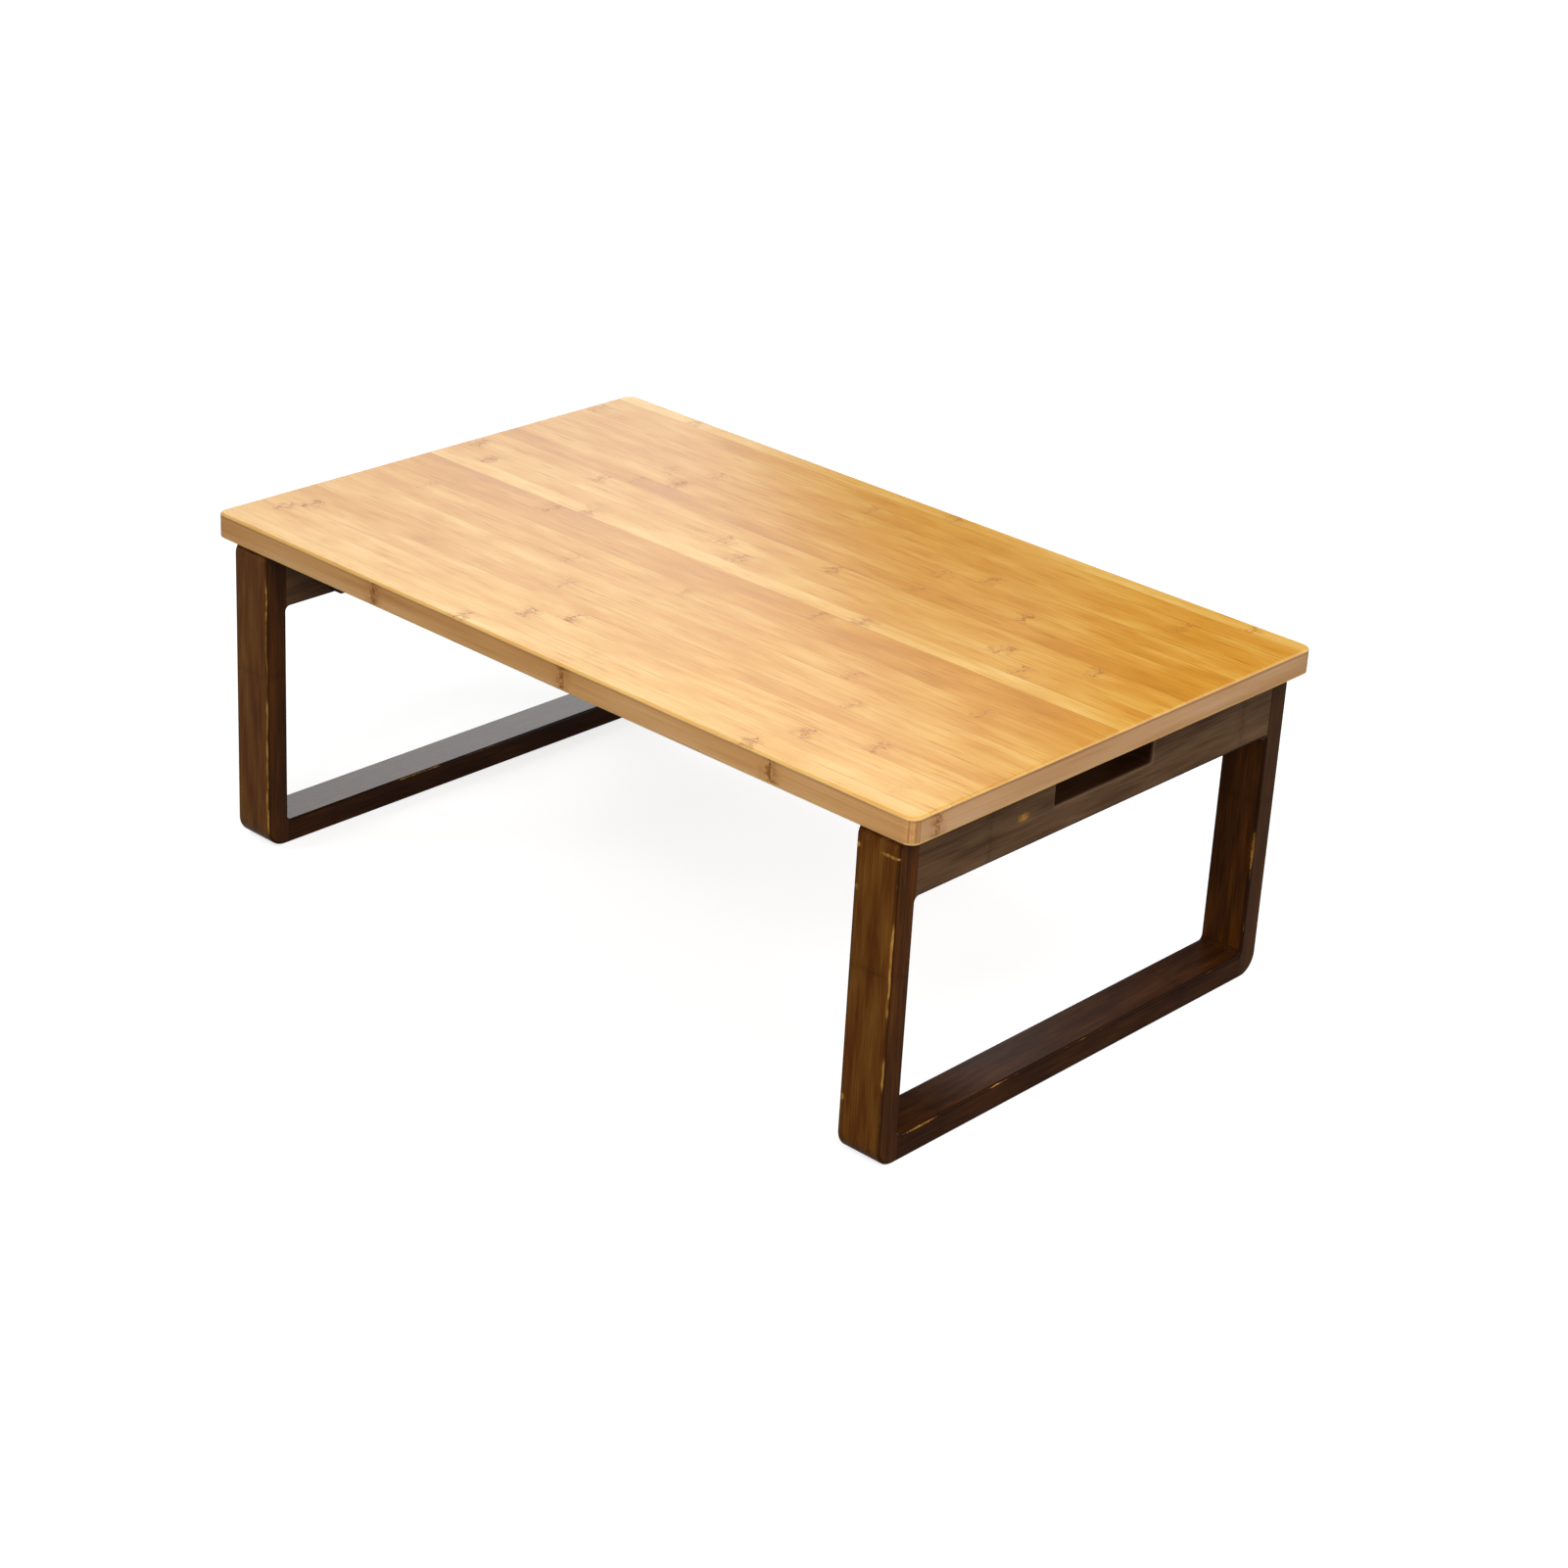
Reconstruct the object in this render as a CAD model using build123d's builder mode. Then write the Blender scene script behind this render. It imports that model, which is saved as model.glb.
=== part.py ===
"""Folding low table with a laminated bamboo top and two loop legs.

Millimetres, +Z up, +X along the length, +Y to the back. The origin is on the floor, under the top's middle.
Each loop leg folds inward on two brackets. A bracket is a base channel under the top, a leg channel on the
top rail, a rivet through both, and a stay whose pin slides along a slot in the base channel.
"""

import os
from math import sqrt

from build123d import *

os.makedirs("parts", exist_ok=True)

# Tabletop: a core with edge bands, between two faces
table_height = 248.0
top_length = 650.0
top_width = 405.0
top_thickness = 18.0
top_face_thickness = 1.5
band_thickness = 5.0
top_corner_radius = 8.0
top_upper_round = 2.0
top_lower_round = 1.0

# Loop legs
leg_end_inset = 13.3  # from the end of the top to the outer face of the leg
leg_side_inset = 5.4  # from the front or back of the top to the post
leg_depth = 34.5
post_thickness = 18.0
bottom_rail_height = 18.0
top_rail_height = 45.5
upper_corner_radius = 10.0
lower_corner_radius = 15.0
opening_corner_radius = 3.5
leg_arris_round = 2.0
grip_width = 100.0
grip_depth = 26.0
grip_corner_radius = 2.0
grip_arris_round = 0.8

# Dowels between posts and rails
dowel_diameter = 8.0
dowel_in_post = 12.0
dowel_in_rail = 18.0
dowel_end_chamfer = 0.8
dowel_clearance = 0.05
bore_end_room = 1.0
top_rail_dowel_spacing = 22.0
bottom_rail_dowel_spacing = 17.0

# Folding brackets: channels pressed from sheet
bracket_post_distance = 47.5  # from a post to the middle of its bracket
sheet_thickness = 2.0
bend_radius = 1.0  # inside a bend
base_channel_width = 28.0
base_end_radius = 8.0
leg_channel_drop = 40.0  # lower end of the leg channel, under the top
leg_channel_reach = 20.0  # how far its cheeks stand out from the rail
leg_channel_shoulder = 20.0  # how far down they widen from the rivet's boss to their full reach
leg_channel_tip_radius = 6.0
pivot_inboard = 11.0  # fold axis, from the inner face of the leg
pivot_drop = 12.0  # fold axis, under the top
pivot_boss_radius = 7.0
fold_gap = 0.3  # left between the fixed cheeks and the rail that turns past them
slot_side_width = 3.9  # of the metal below the slot
slot_end_width = 5.0  # of the metal past its inboard end

# Rivets, pins and washers
pivot_diameter = 5.0
pivot_head_diameter = 10.0
pivot_head_height = 1.6
pivot_head_round = 1.4
pin_diameter = 4.0
pin_head_diameter = 7.0
pin_head_height = 1.2
pin_head_round = 0.6
pin_clearance = 0.05
slot_clearance = 0.1
washer_diameter = 12.0
washer_thickness = 0.9
washer_play = 0.05  # on each side

# Stays
stay_length = 22.0  # between its two bores
stay_offset = 5.0  # its leg pin stands this far inboard of the fold axis when the leg is open
stay_hub_diameter = 9.0
stay_bar_height = 6.0
stay_bar_thickness = 4.0
stay_side_play = 0.2

# Countersunk wood screws
screw_diameter = 3.5
screw_head_diameter = 7.0
screw_tip_length = 3.0
screw_clearance = 0.05
base_screw_length = 14.0
base_screw_end_distance = 10.0  # from the inboard end of the base channel
base_screw_pitch = 24.0
base_screw_spacing = 12.0
leg_screw_length = 25.0
leg_screw_drop = 21.5
leg_screw_spacing = 10.0

# What follows from these sizes
underside = table_height - top_thickness
core_bottom = underside + top_face_thickness
core_top = table_height - top_face_thickness
core_length = top_length - 2 * band_thickness
core_width = top_width - 2 * band_thickness

leg_width = top_width - 2 * leg_side_inset
leg_centre_x = top_length / 2 - leg_end_inset - leg_depth / 2
leg_inner_x = leg_centre_x - leg_depth / 2
opening_width = leg_width - 2 * post_thickness
opening_height = underside - bottom_rail_height - top_rail_height

bracket_y = opening_width / 2 - bracket_post_distance
leg_channel_width = base_channel_width - 2 * (sheet_thickness + washer_thickness + 2 * washer_play)
leg_channel_top = pivot_drop - pivot_boss_radius
base_cheek_radius = pivot_inboard - fold_gap
base_cheek_depth = pivot_drop + pin_diameter / 2 + slot_clearance + slot_side_width
slot_start = pivot_inboard + 2 * stay_offset
slot_stop = pivot_inboard + 2 * stay_length
base_channel_end = slot_stop + pin_diameter / 2 + slot_end_width
stay_hub_length = leg_channel_width - 2 * (sheet_thickness + stay_side_play)
slide_pin_length = base_channel_width + 2 * slot_clearance
washer_y = leg_channel_width / 2 + washer_play + washer_thickness / 2

# A bracket is drawn in its own frame: the origin is where the leg's inner face meets the underside of the
# top, +X runs inboard and +Z up. These points are (X, Z) in it, with the leg open.
fold_axis = (pivot_inboard, -pivot_drop)
stay_leg_pin = (pivot_inboard + stay_offset, -pivot_drop - sqrt(stay_length**2 - stay_offset**2))
stay_slide_pin = (slot_start, -pivot_drop)
stay_middle = ((stay_leg_pin[0] + stay_slide_pin[0]) / 2, (stay_leg_pin[1] + stay_slide_pin[1]) / 2)

sides = {"left": -1, "right": 1}
ends = {"front": -1, "back": 1}

ALONG_Y = (90, 0, 0)  # turns local Z to run along Y
OUTBOARD = (0, -90, 0)  # turns local Z to point outboard in a bracket's frame
FROM_BELOW = (Align.CENTER, Align.CENTER, Align.MIN)

# Heads of the channels' screws in a bracket's frame: the base channel's point up into the top, the leg
# channel's point outboard into the rail.
base_screws_x = base_channel_end - base_screw_end_distance - base_screw_pitch / 2
base_screws_middle = Location((base_screws_x, 0, -sheet_thickness))
leg_screws_middle = Location((sheet_thickness, 0, -leg_screw_drop), OUTBOARD)
base_screw_places = [
    base_screws_middle * spot for spot in GridLocations(base_screw_pitch, base_screw_spacing, 2, 2)
]
leg_screw_places = [leg_screws_middle * spot for spot in GridLocations(0, leg_screw_spacing, 1, 2)]


def save(name, piece):
    """Label a finished piece and write it as parts/name.step."""
    piece.label = name
    export_step(piece, f"parts/{name}.step")


def bracket_place(side, end):
    """Where a bracket's frame stands on the table."""
    turn = 0 if side < 0 else 180
    return Location((side * leg_inner_x, end * bracket_y, underside), (0, 0, turn))


def bracket_places(side):
    """Both bracket frames of one leg."""
    return [bracket_place(side, end) for end in ends.values()]


def cross_pin_place(point, y=0.0):
    """A place at a point of a bracket, with local Z across the bracket."""
    return Location((point[0], y, point[1]), ALONG_Y)


def dowel_places(side, end):
    """Middles of the four dowels between one post and its two rails."""
    x = side * leg_centre_x
    y = end * (opening_width / 2 + (dowel_in_post - dowel_in_rail) / 2)
    upper = Location((x, y, underside - top_rail_height / 2), ALONG_Y)
    lower = Location((x, y, bottom_rail_height / 2), ALONG_Y)
    upper_pair = [upper * spot for spot in GridLocations(0, top_rail_dowel_spacing, 1, 2)]
    lower_pair = [lower * spot for spot in GridLocations(bottom_rail_dowel_spacing, 0, 2, 1)]
    return upper_pair + lower_pair


# Wood screws and the bores they need

def wood_screw(length):
    """A countersunk screw with the flat of its head at the origin and its tip towards +Z."""
    head, shank = screw_head_diameter / 2, screw_diameter / 2
    with BuildPart() as screw:
        with BuildSketch(Plane.XZ):
            with BuildLine():
                Polyline(
                    (0, 0),
                    (head, 0),
                    (shank, head - shank),
                    (shank, length - screw_tip_length),
                    (0, length),
                    close=True,
                )
            make_face()
        revolve(axis=Axis.Z)
    return screw.part


def screw_bore(length):
    """The bore that a screw of this length needs in wood, from the flat of its head."""
    with BuildPart() as bore:
        Cylinder(screw_diameter / 2 + screw_clearance, length + bore_end_room, align=FROM_BELOW)
    return bore.part


with BuildPart() as countersunk_bore:
    mouth = screw_head_diameter / 2 + screw_clearance
    throat = screw_diameter / 2 + screw_clearance
    Cone(mouth, throat, mouth - throat, align=FROM_BELOW)
    Cylinder(throat, sheet_thickness, align=FROM_BELOW)

base_screw = wood_screw(base_screw_length)
leg_screw = wood_screw(leg_screw_length)
base_screw_bore = screw_bore(base_screw_length)
leg_screw_bore = screw_bore(leg_screw_length)


# Tabletop: one slab with its corners and arrises rounded, cut into core, bands and faces

with BuildPart() as slab:
    with BuildSketch(Plane.XY.offset(underside)):
        RectangleRounded(top_length, top_width, top_corner_radius)
    extrude(amount=top_thickness)
    fillet(slab.faces().sort_by(Axis.Z)[-1].edges(), top_upper_round)
    fillet(slab.faces().sort_by(Axis.Z)[0].edges(), top_lower_round)

all_bracket_places = bracket_places(-1) + bracket_places(1)

with BuildPart() as top_core:
    with BuildSketch(Plane.XY.offset(core_bottom)):
        Rectangle(core_length, core_width)
    extrude(amount=core_top - core_bottom)
    with Locations(*all_bracket_places):
        with Locations(*base_screw_places):
            add(base_screw_bore, mode=Mode.SUBTRACT)
save("top_core", top_core.part)

with BuildPart() as upper_face:
    add(slab.part)
    split(bisect_by=Plane.XY.offset(core_top), keep=Keep.TOP)
save("upper_face", upper_face.part)

with BuildPart() as under_face:
    add(slab.part)
    split(bisect_by=Plane.XY.offset(core_bottom), keep=Keep.BOTTOM)
    with Locations(*all_bracket_places):
        with Locations(*base_screw_places):
            add(base_screw_bore, mode=Mode.SUBTRACT)
save("under_face", under_face.part)

for end_name, end in ends.items():
    with BuildPart() as edge_band:
        add(slab.part)
        with BuildSketch(Plane.XY.offset(core_bottom)):
            with Locations((0, end * (top_width - band_thickness) / 2)):
                Rectangle(top_length, band_thickness)
        extrude(amount=core_top - core_bottom, mode=Mode.INTERSECT)
    save(f"{end_name}_edge_band", edge_band.part)

for side_name, side in sides.items():
    with BuildPart() as end_band:
        add(slab.part)
        with BuildSketch(Plane.XY.offset(core_bottom)):
            with Locations((side * (top_length - band_thickness) / 2, 0)):
                Rectangle(band_thickness, core_width)
        extrude(amount=core_top - core_bottom, mode=Mode.INTERSECT)
    save(f"{side_name}_end_band", end_band.part)


# Loop leg: a closed frame shaped as one, centred on X, then cut into posts and rails

with BuildPart() as leg_loop:
    with BuildSketch(Plane.YZ) as outline:
        Rectangle(leg_width, underside, align=(Align.CENTER, Align.MIN))
        fillet(outline.vertices().group_by(Axis.Y)[-1], upper_corner_radius)
        fillet(outline.vertices().group_by(Axis.Y)[0], lower_corner_radius)
        with Locations((0, bottom_rail_height + opening_height / 2)):
            RectangleRounded(opening_width, opening_height, opening_corner_radius, mode=Mode.SUBTRACT)
    extrude(amount=leg_depth / 2, both=True)
    fillet(leg_loop.faces().filter_by(Axis.X).edges(), leg_arris_round)
    with BuildSketch(Plane.YZ) as grip:
        with Locations((0, underside)):
            Rectangle(grip_width, 2 * grip_depth)
        fillet(grip.vertices().group_by(Axis.Y)[0], grip_corner_radius)
    extrude(amount=leg_depth / 2, both=True, mode=Mode.SUBTRACT)
    grip_edges = leg_loop.edges(Select.LAST) & leg_loop.faces().filter_by(Axis.X).edges()
    grip_bottom = underside - grip_depth
    grip_top = underside - 1.5 * leg_arris_round
    fillet(grip_edges.filter_by_position(Axis.Z, grip_bottom, grip_top), grip_arris_round)

with BuildPart() as dowel:
    Cylinder(dowel_diameter / 2, dowel_in_post + dowel_in_rail)
    chamfer(dowel.edges().filter_by(GeomType.CIRCLE), dowel_end_chamfer)

with BuildPart() as dowel_bore:
    Cylinder(dowel_diameter / 2 + dowel_clearance, dowel_in_post + dowel_in_rail + 2 * bore_end_room)

for side_name, side in sides.items():
    x = side * leg_centre_x
    dowels = {end: dowel_places(side, end) for end in ends.values()}
    both_ends_dowels = dowels[-1] + dowels[1]

    for end_name, end in ends.items():
        with BuildPart() as post:
            with Locations((x, 0)):
                add(leg_loop.part)
            with Locations((x, end * (leg_width - post_thickness) / 2, underside / 2)):
                Box(leg_depth, post_thickness, underside, mode=Mode.INTERSECT)
            with Locations(*dowels[end]):
                add(dowel_bore.part, mode=Mode.SUBTRACT)
        save(f"{side_name}_{end_name}_post", post.part)

    with BuildPart() as top_rail:
        with Locations((x, 0)):
            add(leg_loop.part)
        with Locations((x, 0, underside)):
            Box(leg_depth, opening_width, opening_height, mode=Mode.INTERSECT)
        with Locations(*both_ends_dowels):
            add(dowel_bore.part, mode=Mode.SUBTRACT)
        with Locations(*bracket_places(side)):
            with Locations(*leg_screw_places):
                add(leg_screw_bore, mode=Mode.SUBTRACT)
    save(f"{side_name}_top_rail", top_rail.part)

    with BuildPart() as bottom_rail:
        with Locations((x, 0)):
            add(leg_loop.part)
            Box(leg_depth, opening_width, opening_height, mode=Mode.INTERSECT)
        with Locations(*both_ends_dowels):
            add(dowel_bore.part, mode=Mode.SUBTRACT)
    save(f"{side_name}_bottom_rail", bottom_rail.part)

    with BuildPart() as leg_dowels:
        with Locations(*both_ends_dowels):
            add(dowel.part)
    save(f"{side_name}_leg_dowels", leg_dowels.part)


# Folding bracket. Each channel starts as a tube, which its side profile opens and shapes.

with BuildPart() as base_channel:
    with BuildSketch(Plane.YZ.offset(fold_gap)):
        tube_depth = 2 * (pivot_drop + base_cheek_radius)
        with Locations((0, -tube_depth / 2)):
            RectangleRounded(base_channel_width, tube_depth, sheet_thickness + bend_radius)
        offset(amount=-sheet_thickness, mode=Mode.SUBTRACT)
    extrude(amount=base_channel_end - fold_gap)
    with BuildSketch(Plane.XZ) as base_cheek:
        with Locations((fold_gap, 0)):
            Rectangle(base_cheek_radius, pivot_drop, align=(Align.MIN, Align.MAX))
        with Locations((pivot_inboard, 0)):
            Rectangle(base_channel_end - pivot_inboard, base_cheek_depth, align=(Align.MIN, Align.MAX))
        fillet(base_cheek.vertices().group_by(Axis.X)[-1].sort_by(Axis.Y)[0], base_end_radius)
        with Locations(fold_axis):
            Circle(base_cheek_radius)
    extrude(amount=base_channel_width, both=True, mode=Mode.INTERSECT)
    with BuildSketch(Plane.XZ):
        with Locations(fold_axis):
            Circle(pivot_diameter / 2 + pin_clearance)
        with Locations(((slot_start + slot_stop) / 2, -pivot_drop)):
            SlotCenterToCenter(slot_stop - slot_start, pin_diameter + 2 * slot_clearance)
    extrude(amount=base_channel_width, both=True, mode=Mode.SUBTRACT)
    with Locations(*base_screw_places):
        add(countersunk_bore.part, mode=Mode.SUBTRACT)

with BuildPart() as leg_channel:
    with BuildSketch(Plane.XY.offset(-leg_channel_drop)):
        with Locations((leg_channel_reach, 0)):
            RectangleRounded(2 * leg_channel_reach, leg_channel_width, sheet_thickness + bend_radius)
        offset(amount=-sheet_thickness, mode=Mode.SUBTRACT)
    extrude(amount=leg_channel_drop - leg_channel_top)
    with BuildSketch(Plane.XZ) as leg_cheek:
        boss_reach = pivot_inboard + pivot_boss_radius
        with BuildLine():
            Polyline(
                (0, -leg_channel_top),
                (boss_reach, -leg_channel_top),
                (boss_reach, -leg_channel_shoulder),
                (leg_channel_reach, -leg_channel_shoulder - (leg_channel_reach - boss_reach)),
                (leg_channel_reach, -leg_channel_drop),
                (0, -leg_channel_drop),
                close=True,
            )
        make_face()
        fillet(leg_cheek.vertices().group_by(Axis.Y)[-1].sort_by(Axis.X)[-1], pivot_boss_radius)
        fillet(leg_cheek.vertices().group_by(Axis.Y)[0].sort_by(Axis.X)[-1], leg_channel_tip_radius)
    extrude(amount=leg_channel_width, both=True, mode=Mode.INTERSECT)
    with BuildSketch(Plane.XZ):
        with Locations(fold_axis):
            Circle(pivot_diameter / 2 + pin_clearance)
        with Locations(stay_leg_pin):
            Circle(pin_diameter / 2 + pin_clearance)
    extrude(amount=leg_channel_width, both=True, mode=Mode.SUBTRACT)
    with Locations(*leg_screw_places):
        add(countersunk_bore.part, mode=Mode.SUBTRACT)

with BuildPart() as stay:
    with BuildSketch(Plane.XZ):
        SlotCenterPoint(stay_middle, stay_slide_pin, stay_bar_height)
    extrude(amount=stay_bar_thickness / 2, both=True)
    with BuildSketch(Plane.XZ):
        with Locations(stay_leg_pin, stay_slide_pin):
            Circle(stay_hub_diameter / 2)
    extrude(amount=stay_hub_length / 2, both=True)
    with BuildSketch(Plane.XZ):
        with Locations(stay_leg_pin, stay_slide_pin):
            Circle(pin_diameter / 2 + pin_clearance)
    extrude(amount=stay_hub_length / 2, both=True, mode=Mode.SUBTRACT)

with BuildPart() as slide_pin:
    Cylinder(pin_diameter / 2, slide_pin_length)
    with Locations((0, 0, slide_pin_length / 2)):
        Cylinder(pin_head_diameter / 2, pin_head_height, align=FROM_BELOW)
    fillet(slide_pin.edges().sort_by(Axis.Z)[-1], pin_head_round)
    mirror(about=Plane.XY)

with BuildPart() as pivot_rivet:
    Cylinder(pivot_diameter / 2, base_channel_width)
    with Locations((0, 0, base_channel_width / 2)):
        Cylinder(pivot_head_diameter / 2, pivot_head_height, align=FROM_BELOW)
    fillet(pivot_rivet.edges().sort_by(Axis.Z)[-1], pivot_head_round)
    mirror(about=Plane.XY)

with BuildPart() as washer:
    Cylinder(washer_diameter / 2, washer_thickness)
    Hole(pivot_diameter / 2 + pin_clearance)

with BuildPart() as stay_pin:
    Cylinder(pin_diameter / 2, leg_channel_width)


# The brackets' pieces on the table: one node for each moving or pressed piece, one for each set of fasteners

bracket_pieces = {
    "base_channel": (base_channel.part, Location()),
    "leg_channel": (leg_channel.part, Location()),
    "stay": (stay.part, Location()),
    "slide_pin": (slide_pin.part, cross_pin_place(stay_slide_pin)),
}
bracket_sets = {
    "pivot_rivets": (pivot_rivet.part, [cross_pin_place(fold_axis)]),
    "friction_washers": (washer.part, [cross_pin_place(fold_axis, y) for y in (-washer_y, washer_y)]),
    "stay_pins": (stay_pin.part, [cross_pin_place(stay_leg_pin)]),
    "base_screws": (base_screw, base_screw_places),
    "leg_screws": (leg_screw, leg_screw_places),
}

for side_name, side in sides.items():
    for end_name, end in ends.items():
        for piece_name, (master, place) in bracket_pieces.items():
            with BuildPart() as bracket_piece:
                with Locations(bracket_place(side, end)):
                    with Locations(place):
                        add(master)
            save(f"{side_name}_{end_name}_{piece_name}", bracket_piece.part)

    for set_name, (master, places) in bracket_sets.items():
        with BuildPart() as bracket_set:
            with Locations(*bracket_places(side)):
                with Locations(*places):
                    add(master)
        save(f"{side_name}_{set_name}", bracket_set.part)
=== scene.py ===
"""Looks of the folding low table: lacquered bamboo top, walnut-stained bamboo legs, black folding brackets.

Metres, in the frame of the CAD: the origin is on the floor under the top's middle, +X to the right, +Y back.
"""

import math
from collections import namedtuple

import bpy
from mathutils import Euler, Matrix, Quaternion, Vector


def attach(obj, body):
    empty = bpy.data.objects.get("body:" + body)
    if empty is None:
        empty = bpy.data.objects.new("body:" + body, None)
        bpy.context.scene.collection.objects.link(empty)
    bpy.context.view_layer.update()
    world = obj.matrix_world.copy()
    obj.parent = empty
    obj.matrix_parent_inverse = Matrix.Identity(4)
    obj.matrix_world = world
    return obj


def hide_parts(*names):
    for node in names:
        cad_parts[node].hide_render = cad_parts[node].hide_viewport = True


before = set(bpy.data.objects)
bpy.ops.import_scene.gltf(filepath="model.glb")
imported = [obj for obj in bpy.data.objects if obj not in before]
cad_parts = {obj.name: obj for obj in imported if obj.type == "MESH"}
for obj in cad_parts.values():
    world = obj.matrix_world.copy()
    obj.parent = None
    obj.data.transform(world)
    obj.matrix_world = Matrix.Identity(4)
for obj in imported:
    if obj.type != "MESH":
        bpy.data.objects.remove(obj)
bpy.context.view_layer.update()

MM = 0.001

# The table's sizes, which the patterns and the screws follow
top_length = 0.650
top_width = 0.405
top_height = 0.248
top_corner_radius = 0.008
band_thickness = 0.005
leg_outside = 0.3117  # outer face of a leg, from the middle of the table
leg_depth = 0.0345
leg_half_width = 0.1971
leg_height = 0.230
post_thickness = 0.018
bottom_rail_height = 0.018
top_rail_height = 0.0455
upper_corner_radius = 0.010
lower_corner_radius = 0.015
opening_corner_radius = 0.0035
grip_half_width = 0.050
grip_depth = 0.026
grip_corner_radius = 0.002
bracket_post_distance = 0.0475  # from a post to the middle of its bracket
sheet_thickness = 0.002  # of a bracket's channels
leg_screw_drop = 0.0215  # from the underside of the top to the leg channels' screws


# ---------------------------------------------------------------- helpers

def linear(colour):
    """An sRGB hex colour as the linear colour that a socket takes."""
    channels = [int(colour[i:i + 2], 16) / 255 for i in (1, 3, 5)]
    return [c / 12.92 if c <= 0.04045 else ((c + 0.055) / 1.055) ** 2.4 for c in channels] + [1.0]


def add(tree, kind, inputs=None, points=None, **settings):
    """Adds a node with its settings. An input takes a value, a socket, or a node for its first output."""
    node = tree.nodes.new(kind)
    for name, value in settings.items():
        setattr(node, name, value)
    if kind == "ShaderNodeFloatCurve":
        curve = node.mapping.curves[0]
        while len(curve.points) < len(points):
            curve.points.new(0.5, 0.5)
        for place, (at, value) in zip(curve.points, points):
            place.location = (at, value)
            place.handle_type = "VECTOR"
        node.mapping.update()
    if kind == "ShaderNodeValToRGB":
        stops = node.color_ramp.elements
        while len(stops) < len(points):
            stops.new(0.5)
        for stop, (at, colour) in zip(stops, points):
            stop.position = at
            stop.color = linear(colour)
    for name, value in (inputs or {}).items():
        shown = [s for s in node.inputs if s.enabled]
        socket = shown[name] if isinstance(name, int) else next(s for s in shown if s.name == name)
        if isinstance(value, bpy.types.Node):
            value = next(s for s in value.outputs if s.enabled)
        if isinstance(value, bpy.types.NodeSocket):
            tree.links.new(value, socket)
        elif isinstance(value, str) and value.startswith("#"):
            socket.default_value = linear(value)
        else:
            socket.default_value = value
    return node


def new_material(name):
    """An empty material, its tree, and the socket of the object's own coordinates."""
    material = bpy.data.materials.new(name)
    material.use_nodes = True
    tree = material.node_tree
    tree.nodes.clear()
    place = add(tree, "ShaderNodeTexCoord").outputs["Object"]
    return material, tree, place


def finish_material(tree, bump, bump_depth, **sockets):
    """The Principled surface that ends a material, with its bump."""
    inputs = {name.replace("_", " "): value for name, value in sockets.items()}
    inputs["Normal"] = add(tree, "ShaderNodeBump", {"Height": bump, "Strength": 1.0, "Distance": bump_depth})
    surface = add(tree, "ShaderNodeBsdfPrincipled", inputs)
    add(tree, "ShaderNodeOutputMaterial", {"Surface": surface})


def stretched_noise(tree, place, axis, along, across, detail, roughness=0.5, start=(0.0, 0.0, 0.0)):
    """Noise whose features are so long along one axis and so wide across it, in millimetres."""
    scale = [1 / ((along if name == axis else across) * MM) for name in "xyz"]
    place = add(tree, "ShaderNodeMapping", {"Vector": place, "Location": start, "Scale": scale})
    return add(tree, "ShaderNodeTexNoise", {"Vector": place, "Scale": 1.0, "Detail": detail,
                                            "Roughness": roughness})


def from_rounded_outline(tree, across, up, middle, half_width, half_height, radius):
    """Signed distance in metres from a rounded rectangle about (0, middle), negative inside."""
    up = add(tree, "ShaderNodeMath", {0: up, 1: middle}, operation="SUBTRACT")
    past = []
    for offset, half in ((across, half_width), (up, half_height)):
        offset = add(tree, "ShaderNodeMath", {0: offset}, operation="ABSOLUTE")
        offset = add(tree, "ShaderNodeMath", {0: offset, 1: half}, operation="SUBTRACT")
        past.append(add(tree, "ShaderNodeMath", {0: offset, 1: radius}, operation="ADD"))
    outside = add(tree, "ShaderNodeCombineXYZ", {
        name: add(tree, "ShaderNodeMath", {0: distance, 1: 0.0}, operation="MAXIMUM")
        for name, distance in zip("XY", past)})
    outside = add(tree, "ShaderNodeVectorMath", {0: outside}, operation="LENGTH").outputs["Value"]
    inside = add(tree, "ShaderNodeMath", {0: past[0], 1: past[1]}, operation="MAXIMUM")
    inside = add(tree, "ShaderNodeMath", {0: inside, 1: 0.0}, operation="MINIMUM")
    both = add(tree, "ShaderNodeMath", {0: outside, 1: inside}, operation="ADD")
    return add(tree, "ShaderNodeMath", {0: both, 1: radius}, operation="SUBTRACT")


# ---------------------------------------------------------------- bamboo

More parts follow.
